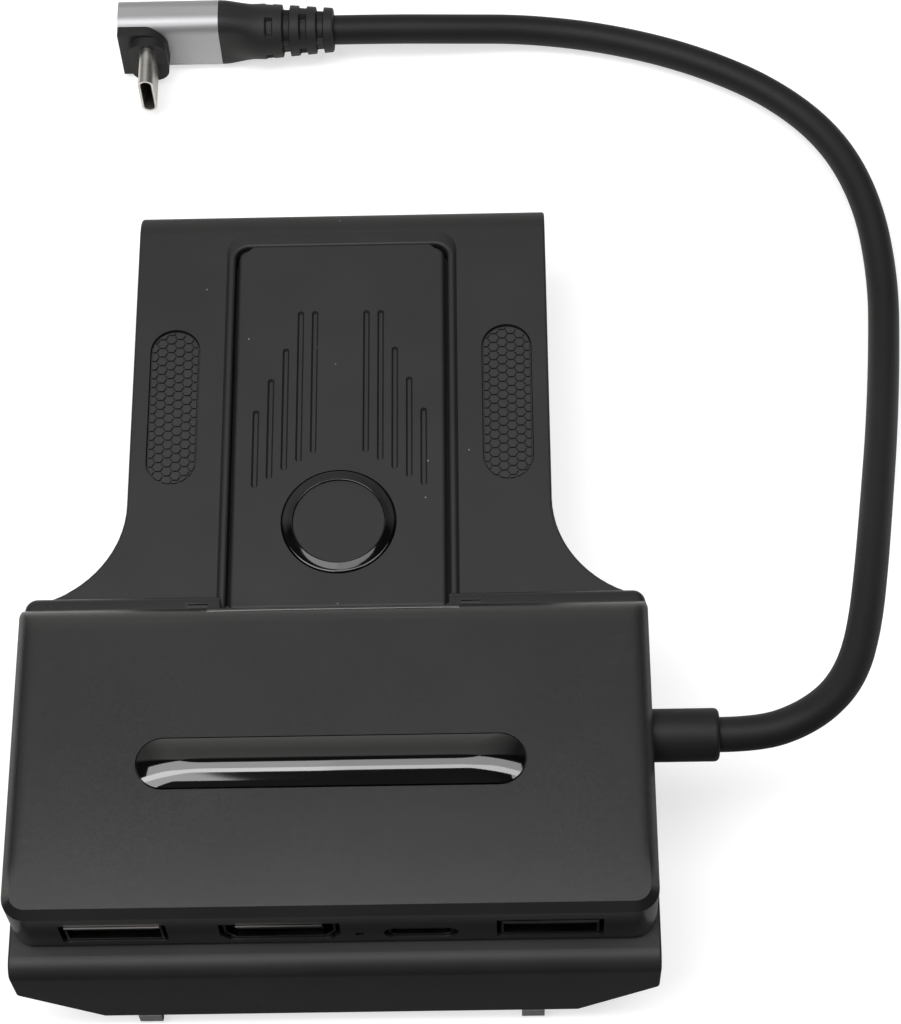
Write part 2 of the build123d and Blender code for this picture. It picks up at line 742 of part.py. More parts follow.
# Hub cover
with BuildPart() as hub_cover:
    with BuildSketch(Plane.XY.offset(cover_bottom)) as cover_outline:
        with Locations((0, hub_y)):
            Rectangle(hub_width, cover_height, align=(Align.CENTER, Align.MIN))
        fillet(cover_outline.vertices().group_by(Axis.Y)[0], cover_lower_corner)
        fillet(cover_outline.vertices().group_by(Axis.Y)[-1], cover_upper_corner)
    extrude(amount=hub_depth - base_floor)
    chamfer(hub_cover.faces().sort_by(Axis.Z)[-1].edges(), cover_chamfer)
    with BuildSketch(Plane.YZ):
        with Locations((cover_top_y - cover_top_round, hub_top - cover_top_round)):
            Rectangle(cover_top_round, cover_top_round, align=(Align.MIN, Align.MIN))
            Circle(cover_top_round, mode=Mode.SUBTRACT)
    extrude(amount=hub_width / 2, both=True, mode=Mode.SUBTRACT)
    with BuildSketch(Plane.YZ):
        bead_radius = cover_top_round - bead_sink
        bead_y = cover_top_y - cover_top_round + bead_radius * sin(radians(bead_angle))
        bead_z = hub_top - cover_top_round + bead_radius * cos(radians(bead_angle))
        with Locations((bead_y, bead_z)):
            Circle(bead_diameter / 2)
    extrude(amount=bead_length / 2, both=True)
    with BuildSketch(Plane.XY.offset(cover_bottom)) as cavity:
        with Locations((0, hub_y + cover_wall)):
            Rectangle(
                hub_width - 2 * cover_wall,
                cover_height - 2 * cover_wall,
                align=(Align.CENTER, Align.MIN),
            )
        fillet(cavity.vertices().group_by(Axis.Y)[0], cover_lower_corner - cover_wall)
    extrude(amount=hub_depth - base_floor - cover_roof, mode=Mode.SUBTRACT)

    # Screw bosses under the roof
    with BuildSketch(Plane.XY.offset(cover_bottom)):
        for rise in boss_rises:
            with Locations((0, hub_y + rise)):
                with GridLocations(boss_spacing, 0, 2, 1):
                    Circle(boss_diameter / 2)
    extrude(amount=hub_depth - base_floor - cover_roof)
    with BuildSketch(Plane.XY.offset(cover_bottom)):
        for rise in boss_rises:
            with Locations((0, hub_y + rise)):
                with GridLocations(boss_spacing, 0, 2, 1):
                    Circle(screw_shank / 2)
    extrude(amount=hub_depth - base_floor - cover_roof, mode=Mode.SUBTRACT)

    # Port openings, the indicator's hole and the strain relief's hole
    with BuildSketch(facing_down(port_wall_y)):
        usb_a_outline(-usb_a_spacing / 2, port_clearance, port_side_clearance)
        usb_a_outline(usb_a_spacing / 2, port_clearance, port_side_clearance)
        usb_c_outline(port_clearance, port_side_clearance)
        hdmi_outline(port_clearance, port_side_clearance)
        with Locations((light_offset, light_z)):
            Circle(light_diameter / 2 + light_clearance)
    extrude(amount=cover_wall, mode=Mode.SUBTRACT)
    with BuildSketch(Plane.YZ.offset(hub_width / 2 - cover_wall)):
        with Locations((relief_y, relief_z)):
            Circle(relief_neck / 2 + relief_clearance)
    extrude(amount=cover_wall, mode=Mode.SUBTRACT)

    # Seat of the gloss bar, and the vents in both side walls
    with BuildSketch(Plane.XY.offset(hub_top)):
        with Locations((0, window_y)):
            SlotOverall(window_length, window_width)
    extrude(amount=-window_seat, mode=Mode.SUBTRACT)
    for side in (-1, 1):
        with BuildSketch(Plane.YZ.offset(side * hub_width / 2)):
            for rise in vent_rises:
                with Locations((hub_y + rise, relief_z)):
                    with GridLocations(vent_pitch, 0, vent_count, 1):
                        Rectangle(vent_width, vent_height)
        extrude(amount=-side * vent_depth, mode=Mode.SUBTRACT)
save(hub_cover, "hub_cover")

# Gloss bar: a domed section, run along the bar and turned round at both ends
with BuildPart() as window:
    window_half = window_width / 2 - window_fit
    window_straight = window_length - window_width
    window_bottom = hub_top - window_seat
    with BuildSketch(Plane.YZ.offset(-window_straight / 2)):
        with BuildLine():
            Polyline(
                (window_y + window_half, hub_top + window_rim),
                (window_y + window_half, window_bottom),
                (window_y - window_half, window_bottom),
                (window_y - window_half, hub_top + window_rim),
            )
            ThreePointArc(
                (window_y - window_half, hub_top + window_rim),
                (window_y, hub_top + window_crown),
                (window_y + window_half, hub_top + window_rim),
            )
        make_face()
    extrude(amount=window_straight)
    for side in (-1, 1):
        with BuildSketch(Plane.XZ.offset(-window_y)):
            end_x = side * window_straight / 2
            with BuildLine():
                Polyline(
                    (end_x, hub_top + window_crown),
                    (end_x, window_bottom),
                    (end_x + side * window_half, window_bottom),
                    (end_x + side * window_half, hub_top + window_rim),
                )
                crown_rise = window_crown - window_rim
                crown_radius = (window_half**2 + crown_rise**2) / (2 * crown_rise)
                RadiusArc(
                    (end_x, hub_top + window_crown),
                    (end_x + side * window_half, hub_top + window_rim),
                    side * crown_radius,
                )
            make_face()
        revolve(axis=Axis((end_x, window_y, 0), (0, 0, 1)), revolution_arc=360)
save(window, "hub_window")

# Board
with BuildPart() as board:
    with BuildSketch(Plane.XY.offset(board_bottom)):
        with Locations((0, board_y)):
            Rectangle(board_width, board_height, align=(Align.CENTER, Align.MIN))
        for rise in boss_rises:
            with Locations((0, hub_y + rise)):
                with GridLocations(boss_spacing, 0, 2, 1):
                    Circle(boss_diameter / 2 + boss_clearance, mode=Mode.SUBTRACT)
        for rise in board_screw_rises:
            with Locations((0, hub_y + rise)):
                with GridLocations(board_screw_spacing, 0, 2, 1):
                    Circle(board_screw_shank / 2 + board_screw_clearance, mode=Mode.SUBTRACT)
    extrude(amount=board_wall)
save(board, "main_board")

# Parts soldered on the board
soldered = {
    "hub_chip": (hub_chip_place, hub_chip_size, chip_height),
    "video_chip": (video_chip_place, video_chip_size, chip_height),
    "power_chip": (power_chip_place, power_chip_size, chip_height),
    "power_inductor": (inductor_place, inductor_size, inductor_height),
}
for name, ((x, rise), size, height) in soldered.items():
    with BuildPart() as component:
        with BuildSketch(Plane.XY.offset(board_top)):
            with Locations((x, hub_y + rise)):
                Rectangle(size, size)
        extrude(amount=height)
        chamfer(component.faces().sort_by(Axis.Z)[-1].edges(), component_chamfer)
    save(component, name)

# Board screws
with BuildPart() as board_screws:
    for rise in board_screw_rises:
        with BuildSketch(Plane.XY.offset(board_top)):
            with Locations((0, hub_y + rise)):
                with GridLocations(board_screw_spacing, 0, 2, 1):
                    Circle(board_screw_head / 2)
        extrude(amount=board_screw_head_height)
        with BuildSketch(Plane.XY.offset(board_top)):
            with Locations((0, hub_y + rise)):
                with GridLocations(board_screw_spacing, 0, 2, 1):
                    Circle(board_screw_shank / 2)
        extrude(amount=-board_wall - board_screw_bite)
save(board_screws, "board_screws")

# Long screws through the bracket and the base into the cover's bosses
with BuildPart() as hub_screws:
    head_z = plate_back + screw_sink
    for rise in boss_rises:
        with BuildSketch(Plane.XY.offset(head_z)):
            with Locations((0, hub_y + rise)):
                with GridLocations(boss_spacing, 0, 2, 1):
                    Circle(screw_head / 2)
        extrude(amount=screw_head_height)
        with BuildSketch(Plane.XY.offset(head_z + screw_head_height)):
            with Locations((0, hub_y + rise)):
                with GridLocations(boss_spacing, 0, 2, 1):
                    Circle(screw_shank / 2)
        extrude(amount=screw_length)
        with BuildSketch(Plane.XY.offset(head_z)):
            with Locations((0, hub_y + rise)):
                with GridLocations(boss_spacing, 0, 2, 1):
                    RegularPolygon(driver_radius, 6)
        extrude(amount=driver_depth, mode=Mode.SUBTRACT)
save(hub_screws, "hub_screws")

# Rectangular ports: folded sheet shell, and the moulding with the tongue inside
port_y = hub_y + port_setback
lip_length = port_setback + port_lip_reach
for side, name in ((-1, "usb_a_left"), (1, "usb_a_right")):
    centre_x = side * usb_a_spacing / 2
    with BuildPart() as shell:
        with BuildSketch(facing_down(port_y + usb_a_depth)):
            usb_a_outline(centre_x, 0)
        extrude(amount=usb_a_depth)
        with BuildSketch(facing_down(port_y + usb_a_depth - port_sheet)):
            usb_a_outline(centre_x, -port_sheet)
        extrude(amount=usb_a_depth - port_sheet, mode=Mode.SUBTRACT)
        with BuildSketch(facing_down(port_y)):
            with Locations((centre_x, usb_a_z + usb_a_height / 2 - port_sheet / 2)):
                Rectangle(usb_a_lip_width, port_sheet)
        extrude(amount=lip_length)
    save(shell, f"{name}_shell")
    with BuildPart() as tongue:
        back_wall = usb_a_depth - port_sheet - usb_a_tongue_depth - port_sheet
        with BuildSketch(facing_down(port_y + usb_a_depth - port_sheet)):
            usb_a_outline(centre_x, -port_sheet)
        extrude(amount=back_wall)
        with BuildSketch(facing_down(port_y + usb_a_depth - port_sheet - back_wall)):
            with Locations((centre_x, usb_a_z + usb_a_height / 2 - port_sheet - usb_a_tongue_wall)):
                Rectangle(usb_a_tongue_width, usb_a_tongue_wall)
        extrude(amount=usb_a_tongue_depth)
    save(tongue, f"{name}_tongue")

# Video port
with BuildPart() as hdmi_shell:
    with BuildSketch(facing_down(port_y + hdmi_depth)):
        hdmi_outline(0)
    extrude(amount=hdmi_depth)
    with BuildSketch(facing_down(port_y + hdmi_depth - port_sheet)):
        hdmi_outline(-port_sheet)
    extrude(amount=hdmi_depth - port_sheet, mode=Mode.SUBTRACT)
    with BuildSketch(facing_down(port_y)):
        with Locations((hdmi_offset, hdmi_z + hdmi_height / 2 - port_sheet / 2)):
            Rectangle(hdmi_lip_width, port_sheet)
    extrude(amount=lip_length)
save(hdmi_shell, "hdmi_shell")
with BuildPart() as hdmi_tongue:
    back_wall = hdmi_depth - port_sheet - hdmi_tongue_depth - port_sheet
    with BuildSketch(facing_down(port_y + hdmi_depth - port_sheet)):
        hdmi_outline(-port_sheet)
    extrude(amount=back_wall)
    with BuildSketch(facing_down(port_y + hdmi_depth - port_sheet - back_wall)):
        with Locations((hdmi_offset, hdmi_z)):
            Rectangle(hdmi_tongue_width, hdmi_tongue_wall)
    extrude(amount=hdmi_tongue_depth)
save(hdmi_tongue, "hdmi_tongue")

# Small oval port
with BuildPart() as usb_c_shell:
    with BuildSketch(facing_down(port_y + usb_c_depth)):
        usb_c_outline(0)
    extrude(amount=usb_c_depth)
    with BuildSketch(facing_down(port_y + usb_c_depth - port_sheet)):
        usb_c_outline(-port_sheet)
    extrude(amount=usb_c_depth - port_sheet, mode=Mode.SUBTRACT)
save(usb_c_shell, "usb_c_shell")
with BuildPart() as usb_c_tongue:
    back_wall = usb_c_depth - port_sheet - usb_c_tongue_depth - port_sheet
    with BuildSketch(facing_down(port_y + usb_c_depth - port_sheet)):
        usb_c_outline(-port_sheet)
    extrude(amount=back_wall)
    with BuildSketch(facing_down(port_y + usb_c_depth - port_sheet - back_wall)):
        with Locations((usb_c_offset, usb_c_z)):
            Rectangle(usb_c_tongue_width, usb_c_tongue_wall)
    extrude(amount=usb_c_tongue_depth)
save(usb_c_tongue, "usb_c_tongue")

# Indicator: a clear pipe in the wall, and the lamp behind it
with BuildPart() as light_pipe:
    with BuildSketch(facing_up(hub_y + light_recess)):
        with Locations((-light_offset, light_z)):
            Circle(light_diameter / 2)
    extrude(amount=light_length)
save(light_pipe, "light_pipe")
with BuildPart() as lamp:
    with BuildSketch(Plane.XY.offset(board_top)):
        with Locations((light_offset, hub_y + light_recess + light_length)):
            Rectangle(lamp_length, lamp_length, align=(Align.CENTER, Align.MIN))
    extrude(amount=light_rise + plate_top + light_diameter / 2 - board_top)
save(lamp, "status_lamp")

# Silicone pads on the faces that touch the console
for side, name in ((-1, "back_pad_left"), (1, "back_pad_right")):
    with BuildPart() as back_pad:
        with BuildSketch(Plane.XY.offset(plate_back)):
            with Locations((side * (upper_width / 2 - back_pad_inset), bottom_y + back_pad_rise)):
                RectangleRounded(back_pad_width, back_pad_height, pad_corner)
        extrude(amount=-pad_wall)
    save(back_pad, name)
pad_middle_z = (plate_back + hook_lip_wall) / 2
with BuildPart() as hook_pad:
    with BuildSketch(facing_down(top_y - hook_wall)):
        with Locations((0, pad_middle_z)):
            RectangleRounded(upper_width - 2 * hook_pad_inset, hook_pad_height, pad_corner)
    extrude(amount=pad_wall)
save(hook_pad, "hook_pad")
with BuildPart() as shelf_pad:
    with BuildSketch(facing_up(bottom_y + shelf_wall)):
        with Locations((0, pad_middle_z)):
            RectangleRounded(lower_width - 2 * shelf_pad_inset, shelf_pad_height, pad_corner)
    extrude(amount=pad_wall)
save(shelf_pad, "shelf_pad")

# Strain relief, held in the cover's side wall
with BuildPart() as strain_relief:
    wall_x = hub_width / 2
    with BuildSketch(Plane.YZ.offset(wall_x)):
        with Locations((relief_y, relief_z)):
            Circle(relief_diameter / 2)
    extrude(amount=relief_length)
    fillet(strain_relief.faces().sort_by(Axis.X)[-1].edges(), relief_round)
    with BuildSketch(Plane.YZ.offset(wall_x)):
        with Locations((relief_y, relief_z)):
            Circle(relief_neck / 2)
    extrude(amount=-cover_wall)
    with BuildSketch(Plane.YZ.offset(wall_x - cover_wall)):
        with Locations((relief_y, relief_z)):
            Circle(relief_flange / 2)
    extrude(amount=-relief_flange_wall)
save(strain_relief, "strain_relief")

# Lead: straight runs joined by arcs as large as the runs allow
relief_end_x = hub_width / 2 + relief_length
lead_points = [
    Vector(relief_end_x, relief_y, relief_z),
    Vector(relief_end_x + lead_exit_run, relief_y, relief_z),
]
lead_points += [Vector(*point) for point in lead_route]
lead_points += [Vector(*lead_end, plug_z)]
lead_radii = []
for before, corner, after in zip(lead_points, lead_points[1:], lead_points[2:]):
    turn = (corner - before).get_angle(after - corner)
    shorter = min((corner - before).length, (after - corner).length)
    lead_radii.append(lead_bend_share * shorter / tan(radians(turn / 2)))
print("lead radii", [round(radius, 1) for radius in lead_radii])
with BuildPart() as lead:
    with BuildLine() as lead_path:
        FilletPolyline(*lead_points, radius=lead_radii)
    with BuildSketch(Plane(lead_points[0], z_dir=lead_points[1] - lead_points[0])):
        Circle(lead_diameter / 2)
    sweep(path=lead_path.line)
lead_length = lead_path.wire().length
print("lead length", round(lead_length, 1), "volume over section times length",
      round(lead.part.volume / (pi * lead_diameter**2 / 4 * lead_length), 4))
save(lead, "cable")

# Plug boot: a taper from the plug's section to a round end, with collars
with BuildPart() as plug_boot:
    boot_plane = Plane((shell_end_x, plug_y, plug_z), x_dir=(0, 1, 0), z_dir=(1, 0, 0))
    with BuildSketch(boot_plane):
        RectangleRounded(plug_shell_width, plug_shell_height, plug_shell_round)
    with BuildSketch(boot_plane.offset(plug_taper_length)):
        Circle(plug_taper_diameter / 2)
    loft()
    with BuildSketch(boot_plane.offset(plug_taper_length)):
        Circle(plug_taper_diameter / 2)
    with BuildSketch(boot_plane.offset(plug_boot_length)):
        Circle(plug_boot_end_diameter / 2)
    loft()
    for slot, core in enumerate(plug_slot_cores):
        slot_start = plug_slot_first + slot * plug_slot_pitch - plug_slot_width / 2
        with BuildSketch(boot_plane.offset(slot_start)):
            Circle(plug_taper_diameter)
            Rectangle(
                core,
                4 * plug_taper_diameter,
                rotation=90 * (slot % 2),
                mode=Mode.SUBTRACT,
            )
        extrude(amount=plug_slot_width, mode=Mode.SUBTRACT)
save(plug_boot, "plug_boot")

nose_y = plug_y - plug_shell_width / 2
tip_x = plug_end_x + plug_tip_offset
tip_y = nose_y - plug_boss_reach + plug_tip_seat


def nose_outline(margin):
    """Outline of the plug's nose, square at the plug's end and round towards the lead."""
    with BuildSketch(facing_down(nose_y + plug_nose_seat), mode=Mode.PRIVATE) as outline:
        with Locations((plug_end_x - margin, plug_z)):
            Rectangle(
                plug_nose_length + 2 * margin,
                plug_nose_height + 2 * margin,
                align=(Align.MIN, Align.CENTER),
            )
        fillet(outline.vertices().group_by(Axis.X)[-1], plug_nose_round)
    return outline.sketch


# Plug shell: aluminium, open at the side that carries the nose
with BuildPart() as plug_shell:
    shell_plane = Plane((plug_end_x, plug_y, plug_z), x_dir=(0, 1, 0), z_dir=(1, 0, 0))
    with BuildSketch(shell_plane):
        RectangleRounded(plug_shell_width, plug_shell_height, plug_shell_round)
    extrude(amount=plug_shell_length)
    with BuildSketch(facing_down(nose_y + plug_nose_seat)):
        add(nose_outline(plug_nose_fit))
    extrude(amount=plug_nose_seat, mode=Mode.SUBTRACT)
save(plug_shell, "plug_shell")

# Plug nose
with BuildPart() as plug_nose:
    with BuildSketch(facing_down(nose_y + plug_nose_seat)):
        add(nose_outline(0))
    extrude(amount=plug_nose_seat + plug_nose_reach)
    with BuildSketch(facing_down(nose_y - plug_nose_reach)):
        with Locations((tip_x, plug_z)):
            RectangleRounded(plug_boss_length, plug_boss_height, plug_boss_round)
    extrude(amount=plug_boss_reach - plug_nose_reach)
    with BuildSketch(facing_down(tip_y)):
        with Locations((tip_x, plug_z)):
            SlotOverall(plug_tip_width, plug_tip_wall, rotation=90)
    extrude(amount=plug_tip_seat, mode=Mode.SUBTRACT)
save(plug_nose, "plug_nose")

# Plug tip: a drawn oval tube, with the contact moulding inside
tip_length = plug_tip_seat + plug_tip_reach
with BuildPart() as plug_tip:
    with BuildSketch(facing_down(tip_y)):
        with Locations((tip_x, plug_z)):
            SlotOverall(plug_tip_width, plug_tip_wall, rotation=90)
            SlotOverall(
                plug_tip_width - 2 * plug_tip_sheet,
                plug_tip_wall - 2 * plug_tip_sheet,
                rotation=90,
                mode=Mode.SUBTRACT,
            )
    extrude(amount=tip_length)
save(plug_tip, "plug_tip")
with BuildPart() as plug_tongue:
    with BuildSketch(facing_down(tip_y)):
        with Locations((tip_x, plug_z)):
            SlotOverall(
                plug_tip_width - 2 * plug_tip_sheet,
                plug_tip_wall - 2 * plug_tip_sheet,
                rotation=90,
            )
    extrude(amount=tip_length / 2 - plug_tongue_setback)
save(plug_tongue, "plug_tongue")
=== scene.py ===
"""Looks of the clip-on console dock: materials, finer pieces, the captive lead, the studio and the camera.

Metres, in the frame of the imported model: +Z up from the table, +Y towards the top hook.
"""
import json
from math import cos, degrees, pi, radians, sin, sqrt

import bpy
from mathutils import Matrix, Vector


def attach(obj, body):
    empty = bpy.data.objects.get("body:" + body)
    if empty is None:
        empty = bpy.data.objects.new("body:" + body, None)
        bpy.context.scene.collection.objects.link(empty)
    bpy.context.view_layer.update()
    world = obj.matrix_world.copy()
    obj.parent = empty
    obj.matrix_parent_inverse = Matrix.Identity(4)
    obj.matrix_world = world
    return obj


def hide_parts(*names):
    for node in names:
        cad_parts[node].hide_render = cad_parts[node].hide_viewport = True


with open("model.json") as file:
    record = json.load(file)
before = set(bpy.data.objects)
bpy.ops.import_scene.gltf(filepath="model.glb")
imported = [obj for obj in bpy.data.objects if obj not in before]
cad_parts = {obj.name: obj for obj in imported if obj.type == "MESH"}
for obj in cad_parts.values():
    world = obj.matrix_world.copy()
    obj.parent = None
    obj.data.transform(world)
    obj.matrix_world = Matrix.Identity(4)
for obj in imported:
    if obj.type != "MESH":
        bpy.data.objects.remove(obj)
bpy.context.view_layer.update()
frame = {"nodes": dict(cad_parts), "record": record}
nodes = frame["nodes"]

MM = 0.001

# Noise in the materials: scales in cells per metre, and the part of its range that is used
TONE_STOPS = (0.35, 0.65)
SHEEN_STOPS = (0.3, 0.7)
CLOUD_SCALE = 70.0
STREAK_SCALE = 900.0
WIPE_SCALE = 120.0
HAZE_SCALE = 400.0
HAZE_STRETCH = (0.3, 1.0, 1.0)
FROST_SCALE = 600.0

# How far a finish strays from its colour and its roughness
PLASTIC_TONE = 0.10
PLASTIC_SHEEN = 0.03
POLISH_TONE = 0.15
POLISH_SHEEN = 0.03
METAL_TONE = 0.06
METAL_SHEEN = (0.05, 0.06)

# Relief of the moulded grain and of the brushed streaks
GRAIN_STRENGTH = 0.5
STREAK_RELIEF = 0.01 * MM
STREAK_STRENGTH = 0.3

# Dust on the bracket: cells per metre, a speck's share of its cell, and the share of bare cells
DUST_SCALE = 300.0
DUST_SIZE = 0.035
DUST_RARITY = 0.75
DUST_COLOUR = (0.20, 0.20, 0.19, 1.0)

# Nickel plating: darker and lighter tones on the plug, painted shade inside the ports and a painted highlight
# on the ports' lips
PLUG_FROM = 0.0                     # along Y; only the plug lies past it
PLUG_TONES = ((0.52, 0.50, 0.47), (0.60, 0.58, 0.55))
PORT_SHADE_TONES = ((0.022, 0.021, 0.020), (0.030, 0.029, 0.027))
PORT_STRETCH = (0.15, 1.0, 1.0)
PORT_SHEEN = (0.28, 0.38)
LIP_HIGHLIGHT_BRIGHT = (0.16, 0.153, 0.145)
LIP_HIGHLIGHT_DIM = (0.03, 0.03, 0.03)
LIP_HIGHLIGHT_SPAN = (-22.0 * MM, 8.0 * MM)   # across the dock, from the painted highlight's bright end to its dim end
LIP_MIDDLE = -58.02 * MM            # along Y
LIP_HALF = 0.115 * MM

# Board: cells per metre, and the tones of the mask over bare board and over copper
TRACK_SCALE = 160.0
TRACK_WIDTH = 0.06
TRACK_RELIEF = 0.02 * MM
TRACK_STRENGTH = 0.4
MASK_TONES = ((0.010, 0.085, 0.040, 1.0), (0.012, 0.095, 0.046, 1.0))
MASK_COPPER = (0.030, 0.170, 0.085, 1.0)

# Clear plastic
CLEAR_TONES = ((0.70, 0.72, 0.73), (0.82, 0.83, 0.84))
CLEAR_SHEEN = (0.12, 0.24)

# The hub's softened edges, from none to full: the upper ones across and along the dock, then the sides
SOFT_SAMPLES = 6
SOFT_TOP_ACROSS = (10.0 * MM, 36.0 * MM)
SOFT_TOP_ALONG = (-17.5 * MM, -15.0 * MM)
SOFT_SIDE_ACROSS = (37.0 * MM, 41.0 * MM)
SOFT_SIDE_ALONG = (-54.0 * MM, -48.0 * MM)

# Cage that lifts the shelf's two slanted corners: points across, along and up the bracket
CAGE_COUNTS = (9, 31, 4)
CAGE_DEEP = 2                       # rows along the bracket that move, from the shelf's face
CAGE_LIFTS = [4.0 * MM, 3.5 * MM, 1.1 * MM, 0.0]

# Gloss bar and gloss ring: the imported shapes, finely divided for clean reflections
SHARP_ANGLE = 40.0                  # degrees, past which an edge stays sharp
DOME_RINGS = 28
DOME_END_STEPS = 40
DOME_RIM = 1.1 * MM                 # below the crown
DOME_GAP = 0.13 * MM                # between the bar and its opening
DOME_END_EASE = 3.0 * MM            # by which the crown is shorter than the rim, at each end
DOME_END_RUN = 5.0 * MM             # by which the crown's ends are longer than round ones
ROUND_END = 2.0                     # fullness of a round end
BEZEL_STEPS = 180
BEZEL_WIDTH = 1.7 * MM
BEZEL_FALL = 0.20 * MM              # from the inner edge to the round outer one
BEZEL_HOLLOW = 0.02 * MM
BEZEL_INNER_ROUND = 0.15 * MM
BEZEL_OUTER_ROUND = 0.35 * MM
BEZEL_FACE_STEPS = 12
BEZEL_ROUND_STEPS = 6

# Boot of the plug, from the shell to the lead
BOOT_POINTS = 120
BOOT_ROW_STEP = 0.1 * MM
BOOT_HALF_WIDTH = 3.3 * MM
BOOT_HALF_HEIGHT = 6.0 * MM
BOOT_CORNER = 2.4 * MM
BOOT_TAPER_LENGTH = 7.4 * MM
BOOT_TAPER_RADIUS = 4.6 * MM
BOOT_END_RADIUS = 3.65 * MM
BOOT_END_ROUND = 0.35 * MM
NOTCH_FIRST = 8.25 * MM             # middle of the first notch, from the shell
NOTCH_PITCH = 2.8 * MM
NOTCH_HALF_WIDTH = 0.68 * MM
NOTCH_WALL = 0.22 * MM              # run of a notch's sloping wall
NOTCH_DEPTHS = [0.75 * MM, 1.05 * MM, 1.15 * MM, 0.95 * MM]
NOTCH_HALF_ANGLES = [14.0, 38.0, 26.0, 37.0]
NOTCH_SIDES = 4
NOTCH_TURN = 27.0                   # degrees, of the notches round the boot
NOTCH_EASE = 8.0                    # degrees, over which a notch runs out

# The lead: the route's points in millimetres, from the strain relief to the plug's boot
LEAD_DIAMETER = 4.9 * MM
LEAD_RESOLUTION = 16
LEAD_ROUND_STEPS = 8
LEAD_ORDER = 3
LEAD_POINTS = [
    (53.3, -30.6, 28.05),
    (58.9, -30.6, 28.05),
    (64.6, -28.7, 27.9),
    (69.5, -25.0, 27.0),
    (72.9, -19.9, 26.0),
    (75.2, -12.5, 24.0),
    (77.3, -1.8, 20.5),
    (79.6, 11.8, 15.6),
    (82.1, 27.0, 10.2),
    (84.2, 43.0, 5.3),
    (85.5, 58.0, 2.7),
    (84.2, 72.8, 2.55),
    (79.4, 85.2, 2.55),
    (70.3, 94.8, 2.55),
    (57.8, 101.8, 2.55),
    (44.0, 106.4, 2.6),
    (30.0, 108.2, 3.4),
    (17.0, 107.2, 5.2),
    (6.0, 106.9, 6.0),
    (-2.7, 106.9, 6.0),
]

# Floor: its tone to the eye with the glow that makes it white, and its tones to bounced light, with painted
# shade in front of the dock
FLOOR_REACH = 4.0
FLOOR_DROP = 0.2 * MM
FLOOR_TONE = (0.50, 0.50, 0.50, 1.0)
FLOOR_GLOW = (0.62, 1.0)            # near the dock and far from it
FLOOR_GLOW_SPAN = (0.35, 1.40)
FLOOR_BOUNCE = ((0.08, 0.08, 0.08), (0.90, 0.90, 0.88))
FLOOR_BOUNCE_SPAN = (-0.08, 0.04)   # along Y, from the painted shade in front to the pale back

# Room that reflections see, by direction on an axis: backdrop behind, dark in front and at both sides
ROOM_STRENGTH = 0.85
ROOM_ALONG = [
    (-1.0, (0.16, 0.16, 0.16)),
    (0.0, (0.07, 0.07, 0.07)),
    (0.39, (0.03, 0.03, 0.03)),
    (0.465, (0.97, 0.97, 0.94)),
    (0.56, (0.86, 0.86, 0.83)),
    (0.70, (0.80, 0.80, 0.78)),
    (0.85, (0.88, 0.88, 0.85)),
    (1.0, (1.0, 1.0, 0.97)),
]
ROOM_ACROSS = [
    (-1.0, (0.30, 0.30, 0.30)),
    (-0.50, (0.55, 0.55, 0.55)),
    (-0.25, (1.0, 1.0, 1.0)),
    (0.0, (0.87, 0.87, 0.87)),
    (0.22, (0.56, 0.56, 0.56)),
    (0.45, (0.12, 0.12, 0.12)),
]

# Lamps: flat panels at one height, round a dark place above the camera: left, right, front, back, radiance
PANEL_HEIGHT = 0.95
PANELS = {
    "overhead_left": (-0.62, -0.055, -0.05, 0.20, 4.7),
    "overhead_middle": (-0.055, 0.05, -0.04, 0.215, 4.0),
    "overhead_right": (0.05, 0.65, -0.04, 0.187, 4.0),
    "front_left": (-0.74, -0.055, -0.20, -0.05, 9.6),
    "front_right": (-0.055, 0.65, -0.18, -0.04, 7.9),
    "left_leg": (-0.86, -0.115, -0.56, -0.20, 5.2),
    "right_leg": (0.40, 0.65, -0.60, -0.18, 4.0),
}

# Camera, fitted to the photograph: a long lens from above the hub
CAMERA_PLACE = (0.02335, -0.18608, 0.39968)
CAMERA_RIGHT = (0.99972, -0.00771, -0.02247)
CAMERA_UP = (0.01712, 0.88961, 0.45640)
CAMERA_BACK = (0.01647, -0.45665, 0.88949)
CAMERA_FOCAL_PIXELS = 2900.0
CAMERA_CLIP = 0.01
IMAGE_LONG_SIDE = 1024.0
SENSOR = 36.0


def add_node(tree, kind, **values):
    """A shader node, with its input values and its own settings."""
    node = tree.nodes.new(kind)
    for key, value in values.items():
        if hasattr(node, key):
            setattr(node, key, value)
        else:
            node.inputs[key.replace("_", " ")].default_value = value
    return node


def feed(tree, target, source):
    """Links a socket to an input, or sets a constant value on it."""
    if isinstance(source, bpy.types.NodeSocket):
        tree.links.new(source, target)
    else:
        target.default_value = source


def calculate(tree, operation, *sources):
    """The result of one sum on sockets and constants."""
    node = add_node(tree, "ShaderNodeMath", operation=operation)
    for target, source in zip(node.inputs, sources):
        feed(tree, target, source)
    return node.outputs["Value"]


def mixed(tree, factor, first, second, **settings):
    """A mix of two colours or two directions."""
    node = add_node(tree, "ShaderNodeMix", **settings)
    feed(tree, node.inputs["Factor"], factor)
    feed(tree, node.inputs["A"], first)
    feed(tree, node.inputs["B"], second)
    return node.outputs["Result"]


def map_range(tree, source, old, new=(0.0, 1.0), shape="LINEAR"):
    """The source, with one range mapped to another and held at its ends."""
    node = add_node(tree, "ShaderNodeMapRange", interpolation_type=shape)
    for name, value in zip(("From Min", "From Max", "To Min", "To Max"), (*old, *new)):
        node.inputs[name].default_value = value
    tree.links.new(source, node.inputs["Value"])
    return node.outputs["Result"]


def rise(tree, source, limits):
    """A smooth step from 0 to 1 between two values of the source."""
    return map_range(tree, source, limits, shape="SMOOTHSTEP")


